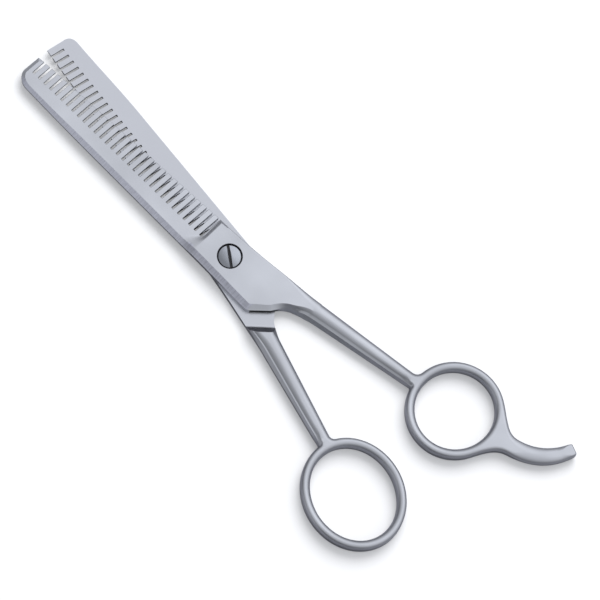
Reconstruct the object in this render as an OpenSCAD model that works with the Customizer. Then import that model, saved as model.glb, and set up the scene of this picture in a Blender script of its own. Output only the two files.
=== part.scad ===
// Double-toothed thinning shears: two forged halves turning on one slotted pivot screw.
// Origin: on the pivot axis, in the plane of the lower pivot block's flat underside.
// +Y points at the blade tips, +Z up through the screw head.
// Each half is drawn in its own closed position and then turned about the pivot.

/* [Pose] */
// Angle between the two halves as drawn
opening = 6; // [0:1:40]

/* [Pivot blocks] */
// Thickness of one pivot block
block_t = 2.5; // [2.2:0.1:3]
// Running gap between the two flat inner faces
face_gap = 0.06; // [0.02:0.01:0.1]
// Distance from the pivot axis to the back of the upper blade
spine_x = 7.2; // [6.5:0.1:8]
// Sideways shift of the lower forging against the mirrored upper one
half_shift = 0.75; // [0:0.05:1]
// Distance from the pivot axis to the ledge where a shank rises past the parting plane
ledge_d = 19.9; // [19.7:0.1:20.4]

/* [Blades] */
// Distance from the pivot axis to the blade tips
blade_len = 77; // [72:1:82]
// Height of a blade's outer face over the parting plane, beside the block
blade_root_t = 1.55; // [1.3:0.05:1.8]
// Height of a blade's outer face over the parting plane, at the tip
blade_tip_t = 1.05; // [0.8:0.05:1.3]
// Width of the bevel along the back of each blade
bevel_w = 1.7; // [1:0.1:2.2]
// Number of slots in each blade
slot_count = 31; // [10:1:31]
// Distance from one slot to the next
slot_pitch = 2.16; // [2.1:0.01:2.2]
// Width of one slot
slot_w = 0.72; // [0.5:0.02:0.9]

/* [Handles] */
// Width of a shank beside its block
shank_w_top = 5.9; // [5:0.1:6.5]
// Width of a shank where it meets its ring
shank_w_end = 4.1; // [3.6:0.1:4.6]
// Height of a shank halfway down
shank_h = 4.3; // [4:0.1:4.8]
// Width of the ring section, seen from above
ring_w = 2.7; // [2.4:0.1:3.2]
// Height of the ring section
ring_h = 4.8; // [4.2:0.1:4.9]
// Inner radius of the round ring
round_ring_r = 11; // [10:0.1:11.5]
// Half the inner width of the oval ring
oval_half_w = 11.5; // [11:0.1:12.5]
// Half the inner length of the oval ring
oval_half_l = 13.6; // [13:0.1:14]

/* [Pivot screw] */
// Radius of the screw head
head_r = 3.15; // [2.8:0.05:3.2]
// Radius of the recess that holds the head
recess_r = 3.5; // [3.4:0.05:3.8]
// Height of the screw head
head_t = 1.15; // [0.9:0.05:1.3]
// Radius of the smooth shoulder that the upper half turns on
shoulder_r = 2; // [1.8:0.05:2.2]
// Radius of the threaded end
thread_r = 1.6; // [1.4:0.05:1.7]
// Radial running clearance of the shoulder and of the thread
running_gap = 0.04; // [0.02:0.01:0.08]
// Width of the screwdriver slot
driver_slot_w = 0.75; // [0.6:0.05:1]

/* [Hidden] */
$fn = 96;
eps = 0.01;

// Heights over the underside.
mid_z = block_t;
upper_z = block_t + face_gap;
top_z = upper_z + block_t;
handle_z = (mid_z + upper_z) / 2;

// Block and blade outline of the upper half, closed, seen from above.
heel = [-spine_x - 0.3, -14];
crotch_top = [-2.6, -18.8];
neck_in = [2.9, -27];
neck_out = [8.8, -27];
edge_root = [5.7, 9.2];
edge_tip = [2, blade_len - 0.1];
upper_tip = [[-6.75, blade_len - 3.8], [-3.3, blade_len + 0.2]];
lower_tip = [[-6.05, blade_len - 3.6], [-3.2, blade_len - 0.6]];
spine_curve_y = 44;
ledge_turn = 40;
step_y = 8.6;
step_fillet_r = 3;

// Slot rows: closed ends of the first and last slots, and the fall toward +X.
upper_slot_root = [-1.6, 9.95];
lower_slot_root = [0.9, 9.5];
upper_slot_drift = -0.75;
lower_slot_drift = 0.25;
upper_slot_fall = 3;
lower_slot_fall = 6;
slot_reach = 16;

// Handles, closed: straight shanks from the neck to the rings.
neck_start = [2.6, -17];
neck_mid = [4.6, -21.5];
upper_shank = [[6.4, -28.4], [12, -60.5]];
lower_shank = [[6.2, -28.4], [11.6, -58.3]];
round_ring_c = [14.4, -73.85];
oval_ring_c = [-15, -73.15];
oval_turn = -9.5;

// Finger rest: centre line from the round ring to its tip, closed.
rest_root = [17.3, -85];
rest_bend_a = [18.1, -91.8];
rest_bend_b = [19.6, -101];
rest_tip = [30.7, -104.7];
rest_w_root = 14.8;
rest_w_mid = 5.1;
rest_w_tip = 3.5;
rest_flare_end = 0.34;
rest_h = 4;

// Screw.
head_seat_z = top_z - head_t - 0.05;
head_play = 0.03;
driver_slot_depth = 0.6;
driver_slot_turn = 57;
screw_chamfer = 0.15;

// Points of a cubic curve from a to d, drawn toward b and c on the way.
function curve(a, b, c, d, steps) = [
    for (i = [0:steps])
        let (t = i / steps, s = 1 - t)
            s * s * s * a + 3 * s * s * t * b + 3 * s * t * t * c + t * t * t * d
];

// One rounded section of a loft: across is its direction in plan.
function section(centre, across, half_w, half_h, power, sides = 24) = [
    for (i = [0:sides - 1])
        let (
            turn = 360 * (i + 0.5) / sides,
            u = half_w * sign(cos(turn)) * pow(abs(cos(turn)), 2 / power),
            v = half_h * sign(sin(turn)) * pow(abs(sin(turn)), 2 / power)
        )
            [centre.x + u * cos(across), centre.y + u * sin(across), handle_z + v]
];

// Skin through a list of sections with equal numbers of points: capped, or joined end to end.
module loft(rings, joined = false) {
    n = len(rings[0]);
    count = len(rings);
    spans = joined ? count : count - 1;
    skin = [
        for (i = [0:spans - 1], j = [0:n - 1])
            let (next = (i + 1) % count, beside = (j + 1) % n)
                [i * n + j, next * n + j, next * n + beside, i * n + beside]
    ];
    caps = [[for (j = [0:n - 1]) j], [for (j = [n - 1:-1:0]) (count - 1) * n + j]];
    polyhedron([for (ring = rings) each ring], joined ? skin : concat(skin, caps));
}

// Plan of one block with its blade, upper hand, closed. tip is where its rounded corner
// starts and ends.
module half_plan(tip) {
    corner = tip[0];
    spine = curve([-spine_x, spine_curve_y], [-spine_x, spine_curve_y + 12],
                  [corner.x - 0.2, corner.y - 10], corner, 8);
    end = curve(corner, [corner.x + 0.1, corner.y + 2.2], [tip[1].x - 1.6, tip[1].y], tip[1], 6);
    crotch = curve(crotch_top, [0.2, -20.4], [1.7, -22.4], neck_in, 8);
    out = curve(neck_out, [7.4, -16], [6.2, -6], [5.6, 6], 8);
    polygon(concat([heel], spine, end, [edge_tip, edge_root], [for (i = [8:-1:0]) out[i]],
                   [for (i = [8:-1:0]) crotch[i]]));
}

// Row of slots cut through a blade from its toothed edge.
module slot_row(root, drift, fall, reach) {
    for (i = [0:slot_count - 1])
        translate([root.x + drift * i / (slot_count - 1), root.y + slot_pitch * i, -eps])
            rotate(-fall)
                translate([min(0, reach), -slot_w / 2, 0])
                    cube([abs(reach), slot_w, top_z + 1]);
}

// Flat block with its blade: inner face at z = 0, outer face up, upper hand, closed.
module block_and_blade(tip) {
    taper = atan((blade_root_t - blade_tip_t) / (blade_len - step_y));
    block_bevel = 35;
    blade_bevel = 30;
    difference() {
        linear_extrude(block_t)
            half_plan(tip);
        // Blade ground thinner than the block, with a rounded step.
        translate([-20, step_y + step_fillet_r, blade_root_t])
            rotate([-taper, 0, 0])
                cube([40, 90, 4]);
        translate([-20, step_y + step_fillet_r, blade_root_t + step_fillet_r])
            rotate([0, 90, 0])
                cylinder(r = step_fillet_r, h = 40);
        // Bevel along the back of the block and, lower down, of the blade.
        translate([-spine_x + bevel_w, -30, block_t])
            rotate([0, -block_bevel, 0])
                translate([-10, 0, 0])
                    cube([10, step_y + 31, 5]);
        translate([-spine_x + bevel_w, step_y, blade_root_t])
            rotate([-taper, 0, 0.4])
                rotate([0, -blade_bevel, 0])
                    translate([-10, 0, 0])
                        cube([10, 80, 5]);
    }
}

// Straight shank with its flared neck, upper hand, closed. The neck is cut back to a ledge
// on the side that faces the other half, between z = cut_from and z = cut_to.
module shank(line, cut_from, cut_to) {
    top = line[0];
    end = line[1];
    across = atan2(end.y - top.y, end.x - top.x) + 90;
    mid = (top + end) / 2;
    difference() {
        loft([
            section(neck_start, across, 4.9, block_t, 5),
            section(neck_mid, across, 3.35, block_t, 3.4),
            section(top, across, shank_w_top / 2, block_t - 0.1, 2.8),
            section(mid, across, (shank_w_top + shank_w_end) / 4, shank_h / 2, 2.4),
            section(end, across, shank_w_end / 2, shank_h / 2, 2.4)
        ]);
        rotate(ledge_turn)
            translate([-20, -ledge_d, cut_from])
                cube([40, 20, cut_to - cut_from]);
    }
}

// Upright stadium that a finger ring is swept from.
module ring_section(inner_r) {
    translate([inner_r + ring_w / 2, 0]) {
        square([ring_w, ring_h - ring_w], center = true);
        for (side = [-1, 1])
            translate([0, side * (ring_h - ring_w) / 2])
                circle(d = ring_w);
    }
}

// Round finger ring with a cylindrical land inside.
module round_ring() {
    translate([round_ring_c.x, round_ring_c.y, handle_z])
        rotate_extrude()
            ring_section(round_ring_r);
}

// Oval finger ring, swept round an ellipse.
module oval_ring() {
    steps = 56;
    half_w = oval_half_w + ring_w / 2;
    half_l = oval_half_l + ring_w / 2;
    translate([oval_ring_c.x, oval_ring_c.y, 0])
        rotate(oval_turn)
            loft([
                for (i = [0:steps - 1])
                    let (
                        turn = -360 * i / steps,
                        centre = [half_w * cos(turn), half_l * sin(turn)],
                        across = atan2(half_w * sin(turn), half_l * cos(turn))
                    )
                        section(centre, across, ring_w / 2, ring_h / 2, 2.6, 16)
            ], joined = true);
}

// Curved finger rest that grows out of the round ring.
module finger_rest() {
    steps = 14;
    line = curve(rest_root, rest_bend_a, rest_bend_b, rest_tip, steps);
    loft([
        for (i = [0:steps])
            let (
                t = i / steps,
                before = line[max(i - 1, 0)],
                after = line[min(i + 1, steps)],
                ahead = after - before,
                flare = (rest_w_root - rest_w_mid) * pow(max(0, 1 - t / rest_flare_end), 2),
                full_w = flare + rest_w_mid + (rest_w_tip - rest_w_mid) * pow(t, 4)
            )
                section(line[i], atan2(ahead.y, ahead.x) + 90, full_w / 2, rest_h / 2, 2.5, 16)
    ]);
}

// Forging that carries the screw head, the round ring and the finger rest.
module upper_half() {
    color("lightsteelblue")
        rotate(opening / 2)
            difference() {
                union() {
                    translate([0, 0, upper_z])
                        block_and_blade(upper_tip);
                    shank(upper_shank, -1, upper_z);
                    round_ring();
                    finger_rest();
                }
                slot_row(upper_slot_root, upper_slot_drift, upper_slot_fall, slot_reach);
                cylinder(r = shoulder_r + running_gap, h = top_z + 1);
                translate([0, 0, head_seat_z])
                    cylinder(r = recess_r, h = 3);
            }
}

// Forging that the screw is threaded into, with the oval ring.
module lower_half() {
    color("silver")
        rotate(-opening / 2)
            difference() {
                union() {
                    translate([-half_shift, 0, mid_z])
                        rotate([0, 180, 0])
                            block_and_blade(lower_tip);
                    translate([-half_shift, 0, 0])
                        mirror([1, 0, 0])
                            shank(lower_shank, mid_z, top_z + 1);
                    oval_ring();
                }
                slot_row(lower_slot_root, lower_slot_drift, lower_slot_fall, -slot_reach);
                translate([0, 0, -1])
                    cylinder(r = thread_r + running_gap, h = block_t + 2);
            }
}

// Shouldered screw with a slotted flat head. Its end is ground flush with the underside.
module pivot_screw() {
    color("dimgray")
        difference() {
            rotate_extrude()
                polygon([
                    [0, 0],
                    [thread_r - screw_chamfer, 0],
                    [thread_r, screw_chamfer],
                    [thread_r, mid_z],
                    [shoulder_r, mid_z + eps],
                    [shoulder_r, head_seat_z + head_play],
                    [head_r, head_seat_z + head_play],
                    [head_r, top_z - screw_chamfer],
                    [head_r - screw_chamfer, top_z],
                    [0, top_z]
                ]);
            rotate(driver_slot_turn)
                translate([0, 0, top_z - driver_slot_depth / 2 + eps])
                    cube([3 * head_r, driver_slot_w, driver_slot_depth], center = true);
        }
}

upper_half();
lower_half();
pivot_screw();
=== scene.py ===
"""Looks of the thinning shears: two forged, satin ground halves and their slotted pivot screw.

Each half is drawn flat, in millimetres, in its own closed position: an outline, a profile that
runs in from the outline, and the height of the forging over its parting plane. The lower half is
drawn as an upper one and turned over. Both are then turned about the pivot and scaled to metres.
"""
import math
from types import SimpleNamespace

import bpy
import numpy as np
from mathutils import Matrix, Quaternion, Vector
from mathutils.geometry import delaunay_2d_cdt


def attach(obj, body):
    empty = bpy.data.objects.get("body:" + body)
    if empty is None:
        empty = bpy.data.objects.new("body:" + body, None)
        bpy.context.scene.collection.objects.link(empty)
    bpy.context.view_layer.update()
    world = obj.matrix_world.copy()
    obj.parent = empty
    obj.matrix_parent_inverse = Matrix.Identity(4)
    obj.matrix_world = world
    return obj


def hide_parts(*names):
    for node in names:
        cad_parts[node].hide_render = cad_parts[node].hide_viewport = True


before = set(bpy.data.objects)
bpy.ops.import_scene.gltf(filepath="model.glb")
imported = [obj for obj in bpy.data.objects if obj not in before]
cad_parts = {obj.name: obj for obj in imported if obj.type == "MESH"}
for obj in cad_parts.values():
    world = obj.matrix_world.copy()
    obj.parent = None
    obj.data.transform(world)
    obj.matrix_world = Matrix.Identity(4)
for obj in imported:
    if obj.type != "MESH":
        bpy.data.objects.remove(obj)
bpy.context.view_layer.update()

MM = 0.001
ROWS = 9  # rows of points from the outline to the flat of a rounded or bevelled edge

# Heights named _Z are over the underside, as in the CAD frame, and those named _H over the
# parting plane, where the two halves meet.
BLOCK_T = 2.5
FACE_GAP = 0.06  # between the two halves' ground faces
TOP_Z = 2 * BLOCK_T + FACE_GAP
PARTING_Z = TOP_Z / 2
OPENING = math.radians(6)  # between the halves, at rest
HALF_SHIFT = 0.75  # sideways, from the upper half's mirror image to the lower half

# Blade and block, upper hand, closed.
BLADE_LEN = 77.0
BLADE_ROOT_H = 1.58
BLADE_TIP_H = 1.08
SPINE_CURVES_Y = 44.0  # the spine is straight as far as here, and curves in to the tip
SPINE_BLENDS_Y = (13.0, 5.0)  # between these it goes over from the blade's bevel to the block's
HEEL_OUT = 0.25
HEEL_Y = -14.0
HEEL_ROUND = 1.2
CROTCH_TOP = (-2.6, -18.8)
NECK_IN = (2.9, -27.0)
NECK_Y = -27.0
EDGE_ROOT = (5.7, 9.2)
EDGE_TIP = (2.0, BLADE_LEN - 0.1)

# Step from the block down to the blade. It runs out wider toward the spine.
STEP_Y = 8.1
STEP_RUN = 1.5
STEP_WIDENS = 2.4
STEP_WIDENS_FROM_X = -0.6
STEP_WIDENS_OVER = 4.6
STEP_SHAPE = 0.8  # under 1, the top edge is crisper than the foot

# Holes for the screw.
BORE_R = 2.04
RECESS_R = 3.5
RECESS_Z = TOP_Z - 1.2
RECESS_BREAK = 0.19  # broken rim of the recess
THREAD_BORE_R = 1.64
ABOVE = 4.0  # clear of a half on both sides of its parting plane

# Handles.
SHANK_W_TOP = 5.9
SHANK_W_END = 4.1
SHANK_H = 2.17
SHANK_THINS_Y = (-19.0, -45.0)
MID_SHANK_Y = -40.0  # below this, heights follow the ring and the finger rest
RING_W = 2.7
RING_H = 2.4
RING_BULGE_AT = math.radians(-42)  # the round ring is pulled out a little toward the finger rest
RING_BLEND = 4.5  # the shank comes to the ring's height over this distance
NOTCH_LEN = 3.0  # end of a shank's side, where its profile changes to meet the ring
LEDGE_D = 20.7
LEDGE_TURN = math.radians(40)
LEDGE_RUN = 2.6  # the riser leans back and ends in a hollow

UPPER = SimpleNamespace(
    spine=(7.15, 7.1), tip=((-6.75, BLADE_LEN - 3.8), (-3.3, BLADE_LEN + 0.2)),
    slot_root=(-1.6, 9.95), slot_drift=-0.75, slot_fall=3, neck_out=9.15,
    shank_top=(6.4, -28.4), shank_end=(12.0, -60.5),
    ring_c=(14.4, -73.85), ring_half=(11.0, 11.0), ring_turn=0, ring_bulge=0.3,
    fillet_left=0.4, fillet_right=1.9, rest=True)
LOWER = SimpleNamespace(
    spine=(7.45, 7.05), tip=((-6.05, BLADE_LEN - 3.6), (-3.2, BLADE_LEN - 0.6)),
    slot_root=(-0.9 - HALF_SHIFT, 9.5), slot_drift=-0.25, slot_fall=-6, neck_out=8.93,
    shank_top=(6.2, -28.4), shank_end=(11.6, -58.3),
    ring_c=(15.0 - HALF_SHIFT, -73.15), ring_half=(11.5, 13.6), ring_turn=9.5,
    ring_bulge=0,
    fillet_left=1.6, fillet_right=0.5, rest=False)

SLOT_COUNT = 31
SLOT_PITCH = 2.16
SLOT_W = 0.72
SLOT_CORNER = 0.12

# Finger rest: its centre line, widths and heights, and where it leaves and joins the ring.
REST_LINE = ((17.55, -84.9), (18.2, -91.8), (19.6, -101.0), (30.7, -104.7))
REST_W_ROOT = 15.3
REST_W_MID = 5.1
REST_W_TIP = 3.5
REST_FLARE_END = 0.34  # share of the line
REST_DROP = 0.4  # the tip is this much lower than the ring
REST_DROP_OVER = 8.0
REST_LEAVES = 245  # degrees round the ring, where the outline leaves it for the rest
REST_JOINS = 340
REST_CORNER = 0.6
REST_STEPS = 30
# Steps of the left and right side that the sweep into the ring stands in for, those after them
# over which the profile changes, and the last steps of both, which run out to the tip.
REST_SKIPS = (9, 4)
REST_ROOT = (8, 13)
REST_NEAR_TIP = 5

# Screw.
HEAD_R = 3.25
HEAD_CROWN = 0.4
HEAD_BREAK = 0.12
HEAD_PLAY = 0.03
SHOULDER_R = 2.0
THREAD_R = 1.6
THREAD_CHAMFER = 0.15
DRIVER_TURN = math.radians(57)
DRIVER_HALF_W = 0.4
DRIVER_DEPTH = 0.6
DRIVER_LIP = 0.14

# Slots of a forging's materials after the first, satin steel, and where the faces of the first
# three are. All but the bevel are painted shade: darker steel on the slot walls, near-black on
# the crotch wall, rough dark steel on the ledge's riser. STEEP, FLAT and RISER_STEEP are the
# upward part of a face's normal.
BEVEL, SLOT_SHADE, PAINTED_SHADE, RISER_SHADE = range(1, 5)
STEEP, FLAT = 0.3, 0.97
RISER_STEEP = 0.75
BEVEL_X = -5.0
# Faces on the crotch wall with y between these get the near-black painted shade.
PAINTED_SHADE_Y = (HEEL_Y - 6, HEEL_Y - 0.6)
SLOTS_X = (-3.2, 5.2)

SMOOTH_ANGLE = math.radians(19)  # edges bent more than this are shaded sharp


# ---------------------------------------------------------------- plan geometry

def vec(*xy):
    """A plan point or direction."""
    return np.array(xy, float)


def curve(a, b, c, d, steps):
    """Points of a cubic curve from a to d, drawn toward b and c."""
    t = np.linspace(0, 1, steps + 1)[:, None]
    s = 1 - t
    a, b, c, d = (np.array(p, float) for p in (a, b, c, d))
    return s**3 * a + 3 * s**2 * t * b + 3 * s * t**2 * c + t**3 * d


def round_off(before, corner, after):
    """Curve from before to after that rounds a corner."""
    return curve(before, (before + 2 * corner) / 3, (2 * corner + after) / 3, after, 8)


def bridge(a, b, c, d):
    """Curve from b to c that leaves along a to b and arrives along c to d."""
    third = np.linalg.norm(c - b) / 3
    return curve(b, b + unit(b - a) * third, c - unit(d - c) * third, c, 14)


def line(a, b, spacing=1.0):
    """Points from a to b, about spacing apart."""
    a, b = np.array(a, float), np.array(b, float)
    steps = max(1, round(np.linalg.norm(b - a) / spacing))
    return a + (b - a) * np.linspace(0, 1, steps + 1)[:, None]


def unit(v):
    """The direction of v, one long."""
    return v / np.linalg.norm(v)


def turned(points, angle):
    """Plan points turned about the origin."""
    c, s = math.cos(angle), math.sin(angle)
    return np.asarray(points) @ np.array([[c, s], [-s, c]])


def smooth(t):
    """Eased step from 0 to 1."""
    t = np.clip(t, 0, 1)
    return t * t * (3 - 2 * t)


def ellipse(half, grow, start, end, steps):
    """Points of the ring's outline, as seen in the ring's own axes, grown outward."""
    turn = np.linspace(math.radians(start), math.radians(end), steps + 1)
    grow = grow + half.ring_bulge * np.maximum(0, np.cos(turn - RING_BULGE_AT)) ** 3
    return np.stack([(half.ring_half[0] + grow) * np.cos(turn),
                     (half.ring_half[1] + grow) * np.sin(turn)], 1)


def ring_points(half, grow, start, end, steps):
    """Points of the ring's outline in place, from start to end in degrees."""
    return turned(ellipse(half, grow, start, end, steps),
                  math.radians(half.ring_turn)) + np.array(half.ring_c)


# ---------------------------------------------------------------- edge profiles
# A profile is an array of (distance in from the outline, share of the forging's height).

def bevel(width, foot):
    """Flat bevel: its foot stands at a share of the height, over an upright wall."""
    edge, broken = 0.05, 0.01
    d = np.concatenate([[0, edge], np.linspace(edge, width, ROWS)[1:]])
    share = foot + (1 - foot) * d / width
    share[1] += broken
    return np.stack([d, share], 1)


def rounded(width, wall, ridge=0.02, power=2.0):
    """Rounded edge over an upright wall, with a parting ridge standing proud of it.

    The wall is a share of the height. A power of 2 gives a quarter ellipse, more a squarer edge.
    """
    turn = np.linspace(0, math.pi / 2, ROWS)
    d = ridge + width * (1 - np.cos(turn) ** (2 / power))
    share = wall + (1 - wall) * np.sin(turn) ** (2 / power)
    return np.concatenate([[[0, wall]], np.stack([d, share], 1)])


def ridged(wall, ridge, width, high, lift=0.13, power=1.6, low=0.12):
    """Leaning wall, a gently sloped ridge where the dies met, and a steeper rise to the top.

    Wall, ridge and width say how far each reaches in. The wall leans from low to high, both
    shares of the height, and the ridge lifts on from there. A higher power makes the rise
    steeper at its foot.
    """
    t = np.linspace(0, 1, ROWS - 1)[1:]
    d = wall + ridge + width * t
    share = high + lift + (1 - high - lift) * (1 - (1 - t) ** power)
    return np.concatenate([[[0, low], [wall, high], [wall + ridge, high + lift]],
                           np.stack([d, share], 1)])


def sharp():
    """Ground edge with a fine break, two points only."""
    return np.array([[0, 0.95], [0.07, 1.0]])


SPINE_BLADE = bevel(1.6, 0.6)
SPINE_BLOCK = bevel(1.7, 0.68)
CROTCH = bevel(1.5, 0.7)
NECK = ridged(0.95, 0.7, 1.1, 0.54, 0.14, 1.15)
THROAT = ridged(0.6, 0.4, 0.75, 0.5, 0.14, 1.15)
RIDGED_TOP = ridged(0.85, 0.65, 1.65, 0.53, 0.13, 1.65)
RIDGED_END = ridged(0.6, 0.5, 1.1, 0.6, 0.11)
OUTER_TOP = ridged(0.9, 0.4, 1.6, 0.68, 0.03, 1.6, 0.3)
OUTER_END = ridged(0.6, 0.35, 1.15, 0.7, 0.03, 1.6, 0.35)
PLAIN_TOP = rounded(2.3, 0.12, 0.12, 2.2)
PLAIN_END = rounded(1.65, 0.13, 0.12, 2.1)
NOTCH = ridged(0.4, 0.3, 0.7, 0.72, 0.06, 1.3)
RING_OUT = rounded(1.1, 0.45)
RING_IN = rounded(1.5, 0.28)
REST = rounded(2.4, 0.28, 0.03, 1.9)
REST_TIP = rounded(1.6, 0.36, 0.03, 1.9)
REST_END = rounded(0.45, 0.5)
NECK_RIGHT = rounded(2.2, 0.25, 0.1, 2.3)
BLOCK_RIGHT = rounded(0.4, 0.88)
TIP = bevel(0.9, 0.55)
TIP_CORNER = bevel(1.2, 0.6)

# The parting ridge shows on the -X side of both shanks: left on the upper half, right on the
# lower half, which is turned over. In each pair of rows: shank top, shank end, meeting the ring.
UPPER.left, UPPER.right = (RIDGED_TOP, RIDGED_END, NOTCH), (PLAIN_TOP, PLAIN_END, PLAIN_END)
LOWER.left, LOWER.right = (PLAIN_TOP, PLAIN_END, PLAIN_END), (OUTER_TOP, OUTER_END, NOTCH)


class Outline:
    """A closed plan outline, walked with the steel on the left, and its edge profiles."""

    def __init__(self):
        self.points, self.profiles = [], []

    def run(self, points, start, end=None):
        """Adds points, with the profile passing from start to end along them."""
        points = np.asarray(points, float)
        end = start if end is None else end
        if self.points and np.linalg.norm(points[0] - self.points[-1]) < 1e-6:
            points = points[1:]
        steps = np.linalg.norm(np.diff(points, axis=0), axis=1)
        along = np.concatenate([[0], np.cumsum(steps)])
        for p, t in zip(points, smooth(along / max(along[-1], 1e-9))):
            self.points.append(p)
            self.profiles.append(start if len(start) != len(end) else start * (1 - t) + end * t)

    def rows(self):
        """For each outline point, its row of (x, y, share of height) points."""
        sharpest = 0.6  # keeps the rows short where the outline turns sharply
        p = np.array(self.points)
        before = p - np.roll(p, 1, 0)
        after = np.roll(p, -1, 0) - p
        before /= np.linalg.norm(before, axis=1)[:, None]
        after /= np.linalg.norm(after, axis=1)[:, None]
        n1 = np.stack([-before[:, 1], before[:, 0]], 1)
        n2 = np.stack([-after[:, 1], after[:, 0]], 1)
        inward = (n1 + n2) / np.maximum(1 + (n1 * n2).sum(1), sharpest)[:, None]
        return [np.column_stack([point + profile[:, :1] * n, profile[:, 1]])
                for point, n, profile in zip(p, inward, self.profiles)]


def shank_sides(half):
    """Ends of the two straight sides of the shank: left top, left end, right top, right end."""
    top, end = np.array(half.shank_top), np.array(half.shank_end)
    along = unit(end - top)
    across = vec(-along[1], along[0])
    return (top - across * SHANK_W_TOP / 2, end - across * SHANK_W_END / 2,
            top + across * SHANK_W_TOP / 2, end + across * SHANK_W_END / 2)


def ring_meeting(half, a, b):
    """Angle on the ring's outer outline that the line from a through b runs into."""
    start, end, steps = 60, 140, 1600
    along = unit(b - a)
    off = (ring_points(half, RING_W, start, end, steps) - a) @ vec(-along[1], along[0])
    return start + (end - start) * np.argmin(abs(off)) / steps


def rest_sides():
    """Left and right sides of the finger rest, from the ring to the tip."""
    mid = curve(*REST_LINE, REST_STEPS)
    ahead = np.gradient(mid, axis=0)
    ahead /= np.linalg.norm(ahead, axis=1)[:, None]
    across = np.stack([-ahead[:, 1], ahead[:, 0]], 1)
    t = np.linspace(0, 1, REST_STEPS + 1)
    flare = (REST_W_ROOT - REST_W_MID) * np.maximum(0, 1 - t / REST_FLARE_END) ** 2
    width = flare + REST_W_MID + (REST_W_TIP - REST_W_MID) * t**4
    return mid - across * width[:, None] / 2, mid + across * width[:, None] / 2


def ring_and_rest(outline, half, start, end):
    """Walks the outer side of the ring from the shank's left side round to its right side."""
    if not half.rest:
        outline.run(ring_points(half, RING_W, start, end + 360, 120), RING_OUT)
        return
    left, right = (side[skip:] for side, skip in zip(rest_sides(), REST_SKIPS))
    root_left, root_right = REST_ROOT
    arc = ring_points(half, RING_W, start, REST_LEAVES, 70)
    outline.run(arc, RING_OUT)
    outline.run(bridge(arc[-2], arc[-1], left[0], left[1]), RING_OUT)
    outline.run(left[:root_left], RING_OUT, REST)
    outline.run(left[root_left - 1:1 - REST_NEAR_TIP], REST, REST_TIP)
    outline.run(left[-REST_NEAR_TIP:-1], REST_TIP, REST_END)
    ahead = unit(left[-1] - left[-2])
    across = unit(right[-1] - left[-1])
    for corner, before, after in ((left[-1], -ahead, across), (right[-1], -across, -ahead)):
        a, b = corner + before * REST_CORNER, corner + after * REST_CORNER
        outline.run(curve(a, (a + corner) / 2, (b + corner) / 2, b, 5), REST_END)
    outline.run(right[-REST_NEAR_TIP:-1][::-1], REST_END, REST_TIP)
    outline.run(right[root_right - 1:1 - REST_NEAR_TIP][::-1], REST_TIP, REST)
    outline.run(right[:root_right][::-1], REST, RING_OUT)
    arc = ring_points(half, RING_W, REST_JOINS, end + 360, 60)
    outline.run(bridge(right[1], right[0], arc[0], arc[1]), RING_OUT)
    outline.run(arc, RING_OUT)


def slots(outline, half):
    """Walks up the toothed edge, in and out of each slot."""
    foot, top = np.array(EDGE_ROOT), np.array(EDGE_TIP)
    edge = unit(top - foot)
    fall = math.radians(half.slot_fall)
    out = vec(math.cos(fall), -math.sin(fall))
    up = vec(-out[1], out[0])
    for i in range(SLOT_COUNT):
        drift = half.slot_drift * i / (SLOT_COUNT - 1)
        root = np.array(half.slot_root) + vec(drift, SLOT_PITCH * i)
        mouths, ends = [], []
        for side in (-1, 1):
            closed = root + up * side * SLOT_W / 2
            reach = np.linalg.solve(np.column_stack([out, -edge]), foot - closed)[0]
            mouths.append(closed + out * reach)
            ends.append(closed)
        deep, wide = out * SLOT_CORNER, up * SLOT_CORNER
        outline.run([mouths[0], ends[0] + deep, ends[0] + wide], sharp())
        outline.run([ends[1] - wide, ends[1] + deep, mouths[1]], sharp())


def spine_side(outline, half):
    """Walks round the tip and down the back of the blade and block, as far as the heel."""
    corner, nose = (np.array(p) for p in half.tip)
    root_x, blade_x = -half.spine[0], -half.spine[1]
    blend_y, block_y = SPINE_BLENDS_Y
    outline.run(line(EDGE_TIP, nose), TIP)
    outline.run(curve(nose, nose - [1.6, 0], corner + [0.1, 2.2], corner, 10), TIP, TIP_CORNER)
    bend = curve(corner, corner - [0.2, 10], (blade_x, SPINE_CURVES_Y + 12),
                 (blade_x, SPINE_CURVES_Y), 20)
    outline.run(bend, TIP_CORNER, SPINE_BLADE)
    blend = (blade_x + (root_x - blade_x) * 0.8, blend_y)
    outline.run(line((blade_x, SPINE_CURVES_Y), blend, 1.5), SPINE_BLADE)
    outline.run(line(blend, (root_x, block_y), 0.5), SPINE_BLADE, SPINE_BLOCK)
    heel, crotch = vec(root_x - HEEL_OUT, HEEL_Y), np.array(CROTCH_TOP)
    before, after = heel + [0.02, HEEL_ROUND], heel + unit(crotch - heel) * HEEL_ROUND
    outline.run(line((root_x, block_y), before, 1.5), SPINE_BLOCK)
    outline.run(round_off(before, heel, after), SPINE_BLOCK)
    outline.run(line(after, crotch - unit(crotch - heel), 0.7), SPINE_BLOCK, CROTCH)


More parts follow.
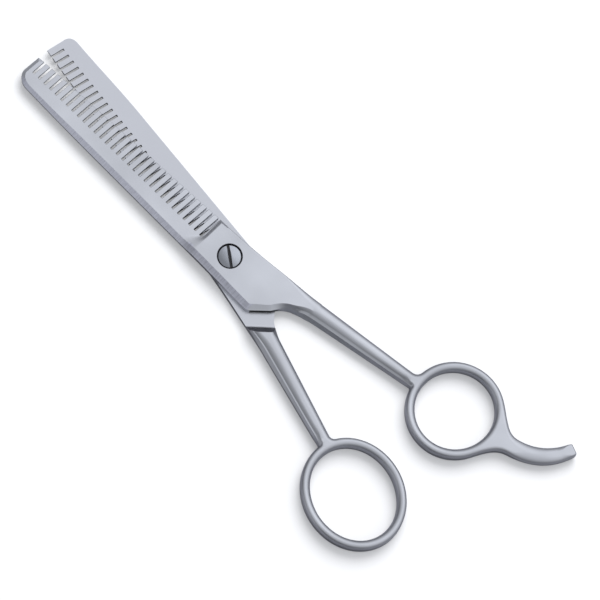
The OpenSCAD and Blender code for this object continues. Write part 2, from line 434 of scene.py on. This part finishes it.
def handle(outline, half):
    """Walks the throat, down the shank's left side, round the ring and up the right side."""
    left_top, left_end, right_top, right_end = shank_sides(half)
    throat, middle = curve(CROTCH_TOP, (0.2, -20.4), (1.7, -22.4), NECK_IN, 22), 12
    neck = NECK if half.rest else half.left[0]
    outline.run(throat[:middle + 1], CROTCH, THROAT)
    outline.run(throat[middle:], THROAT, neck)
    outline.run(line(NECK_IN, left_top, 0.5), neck, half.left[0])
    start, end = ring_meeting(half, left_top, left_end), ring_meeting(half, right_top, right_end)
    outer = half.ring_half[0] + RING_W
    start_turn = math.degrees(half.fillet_left / outer)
    end_turn = math.degrees(half.fillet_right / outer)

    back = unit(left_top - left_end)
    meet, onto = ring_points(half, RING_W, start, start + start_turn, 1)
    leave = meet + back * half.fillet_left
    near = leave + back * NOTCH_LEN
    outline.run(line(left_top, near, 0.8), half.left[0], half.left[1])
    outline.run(line(near, leave, 0.4), half.left[1], half.left[2])
    outline.run(round_off(leave, meet, onto), half.left[2], RING_OUT)
    ring_and_rest(outline, half, start + start_turn, end - end_turn)

    back = unit(right_top - right_end)
    off, meet = ring_points(half, RING_W, end - end_turn, end, 1)
    leave = meet + back * half.fillet_right
    near = leave + back * NOTCH_LEN
    outline.run(round_off(off, meet, leave), RING_OUT, half.right[2])
    outline.run(line(leave, near, 0.4), half.right[2], half.right[1])
    outline.run(line(near, right_top, 0.8), half.right[1], half.right[0])


def half_outlines(half):
    """The outer outline of a half and the outline of its ring's opening."""
    outer = Outline()
    spine_side(outer, half)
    handle(outer, half)
    neck_out = vec(half.neck_out, NECK_Y)
    side, block_from = curve(neck_out, (7.4, -16), (6.2, -6), (5.6, 6), 40), 17
    neck = NECK_RIGHT if half.rest else half.right[0]
    outer.run(line(shank_sides(half)[2], neck_out, 0.4), half.right[0], neck)
    outer.run(side[:block_from + 1], neck, BLOCK_RIGHT)
    outer.run(side[block_from:], BLOCK_RIGHT)
    slots(outer, half)
    hole = Outline()
    hole.run(ring_points(half, 0, 0, -360, 144)[:-1], RING_IN)
    return outer, hole


# ---------------------------------------------------------------- heights and solids

def face_height(half, x, y):
    """Height of the outer face over the parting plane."""
    taper = (BLADE_ROOT_H - BLADE_TIP_H) / (BLADE_LEN - STEP_Y)
    blade = BLADE_ROOT_H - taper * (y - STEP_Y)
    run = STEP_RUN * (1 + STEP_WIDENS * smooth((STEP_WIDENS_FROM_X - x) / STEP_WIDENS_OVER))
    t = np.clip((y - STEP_Y) / run, 0, 1) ** STEP_SHAPE
    block = PARTING_Z - (PARTING_Z - blade) * smooth(t)
    thick_y, thin_y = SHANK_THINS_Y
    shank = PARTING_Z - (PARTING_Z - SHANK_H) * smooth((thick_y - y) / (thick_y - thin_y))
    cx, cy = half.ring_c
    rx, ry = half.ring_half
    away = (np.hypot((x - cx) / rx, (y - cy) / ry) - 1) * rx - RING_W
    drop = REST_DROP if half.rest else 0
    ring = RING_H - drop * smooth(away / REST_DROP_OVER) * (y < cy)
    near = smooth(1 - away / RING_BLEND)
    lower = np.where(y < cy, ring, shank * (1 - near) + ring * near)
    return np.where(y > 0, block, np.where(y < MID_SHANK_Y, lower, shank))


def step_rows():
    """Rows of points on the flat of the block and blade that carry the ground step."""
    right, middle, left, spacing = 5.2, -2.1, -5.25, 0.33
    rows = [(dy, right) for dy in np.arange(-0.15, 0.94, 0.12)]
    rows += [(dy, middle) for dy in np.arange(1.2, 5.0, 0.25)]
    return [[(x, STEP_Y + dy) for x in np.arange(left, reach, spacing)] for dy, reach in rows]


def solid(name, verts, faces, *mats):
    """A new mesh object in the scene, with its materials in order."""
    mesh = bpy.data.meshes.new(name)
    mesh.from_pydata(verts, [], faces)
    mesh.validate()
    for mat in mats:
        mesh.materials.append(mat)
    obj = bpy.data.objects.new(name, mesh)
    bpy.context.scene.collection.objects.link(obj)
    return obj


def skin_edges(half, outline, verts, faces):
    """Adds an outline's edge to both sides; gives the inmost vertices, above and below."""
    rows = outline.rows()
    top, low = [], []
    for row in rows:
        z = row[:, 2] * face_height(half, row[:, 0], row[:, 1])
        for side, store in ((1, top), (-1, low)):
            store.append(list(range(len(verts), len(verts) + len(row))))
            verts.extend(zip(row[:, 0], row[:, 1], side * z))
    for i in range(len(rows)):
        j = (i + 1) % len(rows)
        a, b, c, d = top[i], top[j], low[i], low[j]
        faces.append([c[0], d[0], b[0], a[0]])
        if len(a) == len(b):
            for k in range(len(a) - 1):
                faces.append([a[k], b[k], b[k + 1], a[k + 1]])
                faces.append([c[k + 1], d[k + 1], d[k], c[k]])
        else:
            faces.append([a[0], b[0]] + b[1:] + a[:0:-1])
            faces.append(([c[0], d[0]] + d[1:] + c[:0:-1])[::-1])
    return [ids[-1] for ids in top], [ids[-1] for ids in low]


def fill_flats(half, loops, verts, faces):
    """Fills the flat inside the edges, above and below, round the ring's opening."""
    plan, tops, lows, edges = [], [], [], []
    for top, low in loops:
        first = len(plan)
        plan += [Vector(verts[i][:2]) for i in top]
        tops += top
        lows += low
        edges += [(first + i, first + (i + 1) % len(top)) for i in range(len(top))]
    opening = set(range(first, len(plan)))

    def add_pair(x, y):
        """Adds a point of the flat, above and below."""
        z = float(face_height(half, x, y))
        tops.append(len(verts))
        lows.append(len(verts) + 1)
        verts.extend([(x, y, z), (x, y, -z)])

    for row in step_rows():
        for k, (x, y) in enumerate(row):
            plan.append(Vector((x, y)))
            add_pair(x, y)
            if k:
                edges.append((len(plan) - 2, len(plan) - 1))
    points, _, filled, origin, _, _ = delaunay_2d_cdt(plan, edges, [], 2, 1e-5)
    for k, point in enumerate(points):
        if not origin[k]:  # a point the filling added, where two edges crossed
            origin[k] = [len(tops)]
            add_pair(point.x, point.y)
    for face in filled:
        ids = [origin[k][0] for k in face]
        if not opening.issuperset(ids):
            faces.append([tops[k] for k in ids])
            faces.append([lows[k] for k in ids[::-1]])


def forging(name, half):
    """The full-depth forging of one half, in millimetres over its parting plane."""
    verts, faces = [], []
    loops = [skin_edges(half, outline, verts, faces) for outline in half_outlines(half)]
    fill_flats(half, loops, verts, faces)
    obj = solid(name, verts, faces, steels.satin, steels.bevel, steels.slot_wall, steels.grime,
                steels.rough)
    for face in obj.data.polygons:
        x, y, _ = face.center
        upward = abs(face.normal.z)
        if STEEP < upward < FLAT and x < BEVEL_X and y > HEEL_Y:
            face.material_index = BEVEL
        # The crotch wall gets near-black painted shade, for the dark gap under the upper half's
        # block.
        elif upward < STEEP and x < 0 and PAINTED_SHADE_Y[0] < y < PAINTED_SHADE_Y[1]:
            face.material_index = PAINTED_SHADE
        # Slot walls get a darker, rougher steel: painted shade in the slots.
        elif upward < STEEP and SLOTS_X[0] < x < SLOTS_X[1] and y > STEP_Y:
            face.material_index = SLOT_SHADE
    return obj


def lathe(name, profile, mat, sides=96):
    """A solid turned from (radius, height) points that start and end on the axis."""
    verts, faces, rings = [], [], []
    for r, z in profile:
        if r == 0:
            rings.append([len(verts)] * sides)
            verts.append((0, 0, z))
            continue
        rings.append(list(range(len(verts), len(verts) + sides)))
        verts += [(r * math.cos(2 * math.pi * k / sides), r * math.sin(2 * math.pi * k / sides), z)
                  for k in range(sides)]
    for a, b in zip(rings, rings[1:]):
        for k in range(sides):
            ids = [a[k], a[(k + 1) % sides], b[(k + 1) % sides], b[k]]
            faces.append(list(dict.fromkeys(ids)))
    return solid(name, verts, faces, mat)


def prism(name, section, half_length, place, mat):
    """A bar of the given (v, z) section along the local x axis, then placed by a matrix."""
    n = len(section)
    verts = [place @ Vector((x, v, z)) for x in (-half_length, half_length) for v, z in section]
    faces = [[k, (k + 1) % n, n + (k + 1) % n, n + k] for k in range(n)]
    faces += [list(range(n - 1, -1, -1)), list(range(n, 2 * n))]
    return solid(name, verts, faces, mat)


def bake(obj):
    """Applies the object's modifiers to its mesh."""
    graph = bpy.context.evaluated_depsgraph_get()
    mesh = bpy.data.meshes.new_from_object(obj.evaluated_get(graph))
    obj.modifiers.clear()
    obj.data = mesh


def cut(obj, *cutters):
    """Takes each cutter away from the object; the cut faces get the cutter's material."""
    for cutter in cutters:
        mod = obj.modifiers.new("cut", "BOOLEAN")
        mod.operation = "DIFFERENCE"
        mod.solver = "EXACT"
        mod.material_mode = "TRANSFER"
        mod.object = cutter
        bake(obj)
        bpy.data.objects.remove(cutter)


def inner_cutter():
    """Clears the other half's side of the parting plane, as far as the ledge of the neck."""
    face = FACE_GAP / 2
    far, low, half_length = 110, -5, 80
    riser = curve((LEDGE_RUN, 0), (LEDGE_RUN * 0.6, 0), (LEDGE_RUN * 0.45, -0.9), (0, -BLOCK_T),
                  12)
    section = [(far, face), *(riser + [-LEDGE_D, face]).tolist(), (-LEDGE_D, low), (far, low)]
    return prism("inner", section, half_length, Matrix.Rotation(LEDGE_TURN, 4, "Z"), steels.inner)


def finish_mesh(obj, matrix):
    """Places a piece in the shared frame, in metres, and shades its broad faces as truly flat.

    Edges between two materials are kept sharp, and so are those over the smooth angle.
    """
    obj.data.transform(Matrix.Scale(MM, 4) @ matrix)
    obj.data.shade_smooth()
    obj.data.set_sharp_from_angle(angle=SMOOTH_ANGLE)
    grounds = {}
    for face in obj.data.polygons:
        for key in face.edge_keys:
            grounds.setdefault(key, set()).add(face.material_index)
    for edge in obj.data.edges:
        if len(grounds.get(edge.key, ())) > 1:
            edge.use_edge_sharp = True
    mod = obj.modifiers.new("flat_faces", "WEIGHTED_NORMAL")
    mod.keep_sharp = True
    mod.weight = 90
    bake(obj)


def paint_steep_shade(obj):
    """Gives the steep faces that the inner cut left, the ledge's riser, the rough dark steel:
    painted shade on them.
    """
    inner = [m.name for m in obj.data.materials].index(steels.inner.name)
    for face in obj.data.polygons:
        if face.material_index == inner and abs(face.normal.z) < RISER_STEEP:
            face.material_index = RISER_SHADE


def upper_half():
    """The half on top, with the recess for the screw head, the round ring and the rest."""
    obj = forging("upper_blade_and_handle", UPPER)
    floor, rim_r = RECESS_Z - PARTING_Z, RECESS_R + RECESS_BREAK
    # The bore and the recess round the head are lined with near-black painted shade.
    cut(obj, inner_cutter(),
        lathe("recess_edge", [(0, 2.3), (RECESS_R - 0.06, 2.3), (rim_r, 2.6), (rim_r, ABOVE),
                              (0, ABOVE)], steels.inner),
        lathe("bore", [(0, -ABOVE), (BORE_R, -ABOVE), (BORE_R, floor), (RECESS_R, floor),
                       (RECESS_R, ABOVE), (0, ABOVE)], steels.grime))
    paint_steep_shade(obj)
    lift = Matrix.Translation((0, 0, PARTING_Z))
    finish_mesh(obj, Matrix.Rotation(OPENING / 2, 4, "Z") @ lift)
    return obj


def lower_half():
    """The half underneath, drawn as an upper one and turned over, with the threaded hole."""
    obj = forging("lower_blade_and_handle", LOWER)
    # The threaded hole is lined with near-black painted shade.
    hole = lathe("thread_bore", [(0, -ABOVE), (THREAD_BORE_R, -ABOVE), (THREAD_BORE_R, ABOVE),
                                 (0, ABOVE)], steels.grime)
    hole.data.transform(Matrix.Translation((-HALF_SHIFT, 0, 0)))
    cut(obj, inner_cutter(), hole)
    paint_steep_shade(obj)
    turn_over = Matrix.Translation((-HALF_SHIFT, 0, PARTING_Z)) @ Matrix.Rotation(math.pi, 4, "Y")
    finish_mesh(obj, Matrix.Rotation(-OPENING / 2, 4, "Z") @ turn_over)
    return obj


def screw():
    """Slotted flat head with a fine crowned rim, smooth shoulder and threaded end."""
    seat, edge = RECESS_Z + HEAD_PLAY, TOP_Z - HEAD_CROWN
    profile = [(0, 0), (THREAD_R - THREAD_CHAMFER, 0), (THREAD_R, THREAD_CHAMFER),
               (THREAD_R, BLOCK_T), (SHOULDER_R, BLOCK_T + 0.01), (SHOULDER_R, seat),
               (HEAD_R, seat)]
    profile += [(HEAD_R - HEAD_BREAK * (1 - math.cos(a)), edge - HEAD_BREAK * (1 - math.sin(a)))
                for a in np.linspace(0, 1.3, 6)]
    profile += [(r, TOP_Z - HEAD_CROWN * (r / HEAD_R) ** 2)
                for r in np.linspace(HEAD_R - 0.15, 0, 9)]
    obj = lathe("slotted_pivot_screw", profile, steels.turned, 128)
    turn = Matrix.Rotation(DRIVER_TURN, 4, "Z")
    half_w, bottom, above, long = DRIVER_HALF_W, TOP_Z - DRIVER_DEPTH, TOP_Z + 1, 5
    lip_w = half_w + DRIVER_LIP  # a lip falls at 45 degrees
    # The driver slot is lined with near-black painted shade.
    cut(obj,
        prism("slot_lips", [(0, TOP_Z - lip_w), (lip_w + 1, above), (-lip_w - 1, above)],
              long, turn, steels.inner),
        prism("driver_slot", [(-half_w, bottom), (half_w, bottom), (half_w, above),
                              (-half_w, above)], long, turn, steels.grime))
    finish_mesh(obj, Matrix.Identity(4))
    return obj


# ---------------------------------------------------------------- materials

GRAIN_DEPTH = 0.02 * MM
PATCHES_PER_METRE = 60.0
RINGS_SCALE = 1900.0  # of the lathe's rings on the screw head
EVEN_GRAIN = (3000, 3000, 3000)


def node(tree, kind, **inputs):
    """A new node, with its inputs set by name."""
    made = tree.nodes.new(kind)
    for key, value in inputs.items():
        made.inputs[key.replace("_", " ")].default_value = value
    return made


def steel(name, colour, roughness, grain, streaks, mottle=0.06, lined=False):
    """Ground steel: fine grain, drawn out into streaks, and a soft mottling of its colour.

    Streaks are given as features per metre along x, y and z. Lined steel shows them in its
    colour, instead of the mottling.
    """
    mat = bpy.data.materials.new(name)
    mat.use_nodes = True
    tree = mat.node_tree
    link = tree.links.new
    shader = tree.nodes["Principled BSDF"]
    shader.inputs["Metallic"].default_value = 1.0
    place = tree.nodes.new("ShaderNodeTexCoord")
    stretch = node(tree, "ShaderNodeMapping", Scale=streaks)
    link(place.outputs["Object"], stretch.inputs["Vector"])
    fine = node(tree, "ShaderNodeTexNoise", Scale=1.0, Detail=4.0, Roughness=0.6)
    link(stretch.outputs["Vector"], fine.inputs["Vector"])
    broad = node(tree, "ShaderNodeTexNoise", Scale=PATCHES_PER_METRE, Detail=2.0)
    link(place.outputs["Object"], broad.inputs["Vector"])
    tone = node(tree, "ShaderNodeMix")
    tone.data_type = "RGBA"
    tone.inputs["A"].default_value = (*[c * (1 - mottle) for c in colour], 1)
    tone.inputs["B"].default_value = (*[min(1, c * (1 + mottle)) for c in colour], 1)
    link((fine if lined else broad).outputs["Fac"], tone.inputs["Factor"])
    link(tone.outputs["Result"], shader.inputs["Base Color"])
    rough = node(tree, "ShaderNodeMapRange", To_Min=roughness - 0.05, To_Max=roughness + 0.07)
    link(fine.outputs["Fac"], rough.inputs["Value"])
    link(rough.outputs["Result"], shader.inputs["Roughness"])
    bump = node(tree, "ShaderNodeBump", Strength=grain, Distance=GRAIN_DEPTH)
    link(fine.outputs["Fac"], bump.inputs["Height"])
    link(bump.outputs["Normal"], shader.inputs["Normal"])
    return mat


def turned_steel():
    """Lathe-turned steel: fine rings about the pivot axis, and painted shade darkening one side.
    """
    mat = steel("turned_steel", (0.44, 0.46, 0.51), roughness=0.2, grain=0.2,
                streaks=EVEN_GRAIN)
    tree = mat.node_tree
    rings = node(tree, "ShaderNodeTexWave", Scale=RINGS_SCALE, Distortion=0.6, Detail=1.0)
    rings.wave_type, rings.rings_direction = "RINGS", "Z"
    place = next(n for n in tree.nodes if n.type == "TEX_COORD")
    tree.links.new(place.outputs["Object"], rings.inputs["Vector"])
    groove = node(tree, "ShaderNodeBump", Strength=0.35, Distance=GRAIN_DEPTH)
    fine = next(n for n in tree.nodes if n.type == "BUMP")
    tree.links.new(rings.outputs["Fac"], groove.inputs["Height"])
    tree.links.new(groove.outputs["Normal"], fine.inputs["Normal"])
    apart = tree.nodes.new("ShaderNodeSeparateXYZ")
    tree.links.new(place.outputs["Object"], apart.inputs[0])
    # Painted shade: the head's colour falls to 0.55 toward its -X side, away from the key light.
    side_shade = node(tree, "ShaderNodeMapRange", From_Min=-2.2 * MM, From_Max=0.8 * MM,
                 To_Min=0.55, To_Max=1.0)
    tree.links.new(apart.outputs["X"], side_shade.inputs["Value"])
    shader = tree.nodes["Principled BSDF"]
    tone = next(n for n in tree.nodes if n.type == "MIX")
    shade_scale = node(tree, "ShaderNodeVectorMath")
    shade_scale.operation = "SCALE"
    tree.links.new(tone.outputs["Result"], shade_scale.inputs[0])
    tree.links.new(side_shade.outputs["Result"], shade_scale.inputs["Scale"])
    tree.links.new(shade_scale.outputs["Vector"], shader.inputs["Base Color"])
    return mat


def grime():
    """Near-black painted shade, with faint specks, in the bores, the head's recess, the driver
    slot and on the crotch wall.
    """
    mat = bpy.data.materials.new("grime")
    mat.use_nodes = True
    tree = mat.node_tree
    shader = tree.nodes["Principled BSDF"]
    shader.inputs["Roughness"].default_value = 0.8
    shader.inputs["Specular IOR Level"].default_value = 0.15
    specks = node(tree, "ShaderNodeTexNoise", Scale=4000.0, Detail=3.0)
    place = tree.nodes.new("ShaderNodeTexCoord")
    tree.links.new(place.outputs["Object"], specks.inputs["Vector"])
    ramp = tree.nodes.new("ShaderNodeValToRGB")
    ramp.color_ramp.elements[0].color = (0.008, 0.008, 0.009, 1)
    ramp.color_ramp.elements[1].color = (0.05, 0.05, 0.055, 1)
    tree.links.new(specks.outputs["Fac"], ramp.inputs["Fac"])
    tree.links.new(ramp.outputs["Color"], shader.inputs["Base Color"])
    return mat


# ---------------------------------------------------------------- stage

FLOOR_HALF = 3.0
FLOOR_Z = -0.02 * MM  # just clear of the block's underside
KEY_AT = (0.52, 0.24, 0.8)
KEY_AIM = (0, -0.02, 0)
KEY_SIZE = 0.85
KEY_WATTS = 9.5
CAMERA_TURNS = (-64.6, 75.4, 23.2)  # azimuth, elevation and roll, in degrees
CAMERA_AIM = (6.41, -21.97, TOP_Z)
LENS = 900.0
SENSOR = 36.0
FIELD = 0.1657  # width of the view at the object, in metres


def studio():
    """Plain pale floor, soft light from +X and above, dimmer surroundings on the other sides."""
    scene = bpy.context.scene
    scene.view_settings.view_transform = "Standard"
    world = bpy.data.worlds.new("studio")
    scene.world = world
    world.use_nodes = True
    tree = world.node_tree
    link = tree.links.new
    look = tree.nodes.new("ShaderNodeTexCoord")

    def along(direction, low, high, bottom, top, kind="LINEAR"):
        """Strength that grows from bottom to top as the view turns toward a direction."""
        dot = node(tree, "ShaderNodeVectorMath")
        dot.operation = "DOT_PRODUCT"
        dot.inputs[1].default_value = direction
        link(look.outputs["Generated"], dot.inputs[0])
        ramp = node(tree, "ShaderNodeMapRange", From_Min=low, From_Max=high, To_Min=bottom,
                    To_Max=top)
        ramp.interpolation_type = kind
        link(dot.outputs["Value"], ramp.inputs["Value"])
        return ramp.outputs["Result"]

    room = along((0.5, -0.2, 1.0), -0.2, 1.1, 0.07, 1.0)
    soft_box = along((0.65, 0.15, 0.75), 0.8, 0.99, 0, 0.3, "SMOOTHSTEP")
    low_window = along((-0.88, 0.47, 0.0), 0.84, 0.98, 0, 0.6, "SMOOTHSTEP")
    total = room
    for light in (soft_box, low_window):
        both = tree.nodes.new("ShaderNodeMath")
        link(total, both.inputs[0])
        link(light, both.inputs[1])
        total = both.outputs[0]
    back = tree.nodes["Background"]
    back.inputs["Color"].default_value = (0.95, 0.97, 1.0, 1)
    link(total, back.inputs["Strength"])

    s, low = FLOOR_HALF, FLOOR_Z
    mesh = bpy.data.meshes.new("floor")
    mesh.from_pydata([(-s, -s, low), (s, -s, low), (s, s, low), (-s, s, low)], [], [(0, 1, 2, 3)])
    mesh.materials.append(floor_material())
    floor = bpy.data.objects.new("floor", mesh)
    scene.collection.objects.link(floor)

    key = bpy.data.lights.new("key", "AREA")
    key.shape = "DISK"
    key.size = KEY_SIZE
    key.energy = KEY_WATTS
    lamp = bpy.data.objects.new("key", key)
    lamp.location = KEY_AT
    aim = Vector(KEY_AIM) - lamp.location
    lamp.rotation_euler = aim.to_track_quat("-Z", "Y").to_euler()
    lamp.visible_glossy = False
    scene.collection.objects.link(lamp)


def floor_material():
    """Pale card that glows a little, and that polished steel sees as a darker table."""
    mat = bpy.data.materials.new("pale_floor")
    mat.use_nodes = True
    tree = mat.node_tree
    tree.nodes.clear()
    pale = node(tree, "ShaderNodeBsdfDiffuse", Color=(0.6, 0.6, 0.61, 1))
    glow = node(tree, "ShaderNodeEmission", Color=(0.97, 0.98, 1.0, 1), Strength=0.27)
    lit = tree.nodes.new("ShaderNodeAddShader")
    dark = node(tree, "ShaderNodeBsdfDiffuse", Color=(0.24, 0.24, 0.26, 1))
    pick = tree.nodes.new("ShaderNodeMixShader")
    ray = tree.nodes.new("ShaderNodeLightPath")
    out = tree.nodes.new("ShaderNodeOutputMaterial")
    link = tree.links.new
    link(ray.outputs["Is Glossy Ray"], pick.inputs[0])
    link(pale.outputs[0], lit.inputs[0])
    link(glow.outputs[0], lit.inputs[1])
    link(lit.outputs[0], pick.inputs[1])
    link(dark.outputs[0], pick.inputs[2])
    link(pick.outputs[0], out.inputs["Surface"])
    return mat


def camera():
    """Looks down on the shears from a little to the left, the blades toward the upper left."""
    azimuth, elevation, roll = (math.radians(a) for a in CAMERA_TURNS)
    level = math.cos(elevation)
    back = Vector((math.sin(azimuth) * level, -math.cos(azimuth) * level, math.sin(elevation)))
    data = bpy.data.cameras.new("camera")
    data.lens = LENS
    data.sensor_width = SENSOR
    cam = bpy.data.objects.new("camera", data)
    cam.rotation_mode = "QUATERNION"
    cam.rotation_quaternion = (-back).to_track_quat("-Z", "Y") @ Quaternion((0, 0, 1), roll)
    cam.location = Vector(CAMERA_AIM) * MM + back * (LENS / SENSOR * FIELD)
    data.clip_start, data.clip_end = 0.01, 20
    bpy.context.scene.collection.objects.link(cam)
    bpy.context.scene.camera = cam


# ---------------------------------------------------------------- assembly

camera()
studio()

steels = SimpleNamespace(
    satin=steel("satin_steel", (0.555, 0.568, 0.612), roughness=0.33, grain=0.25,
                streaks=(9000, 900, 9000), mottle=0.25),
    bevel=steel("cross_ground_steel", (0.56, 0.57, 0.65), roughness=0.38, grain=0.7,
                streaks=(300, 4200, 300), mottle=0.45, lined=True),
    # Darker copy of the steel for the slot walls: painted shade, with a rougher finish.
    slot_wall=steel("slot_wall_steel", (0.34, 0.35, 0.39), roughness=0.45, grain=0.2,
                    streaks=EVEN_GRAIN),
    # Rough, dark copy of the steel: painted shade on the ledge's riser.
    rough=steel("riser_shade_steel", (0.2, 0.2, 0.23), roughness=0.5, grain=0.2,
                streaks=EVEN_GRAIN),
    inner=steel("face_ground_steel", (0.55, 0.56, 0.605), roughness=0.3, grain=0.05,
                streaks=(900, 9000, 9000), mottle=0.03),
    turned=turned_steel(), grime=grime())

for piece, body, cad_node, slot in (
        (upper_half(), "upper", "upper_half", "satin_steel"),
        (lower_half(), "lower", "lower_half", "satin_steel"),
        (screw(), "screw", "pivot_screw", "screw_steel")):
    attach(piece, body)
    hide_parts(cad_node)
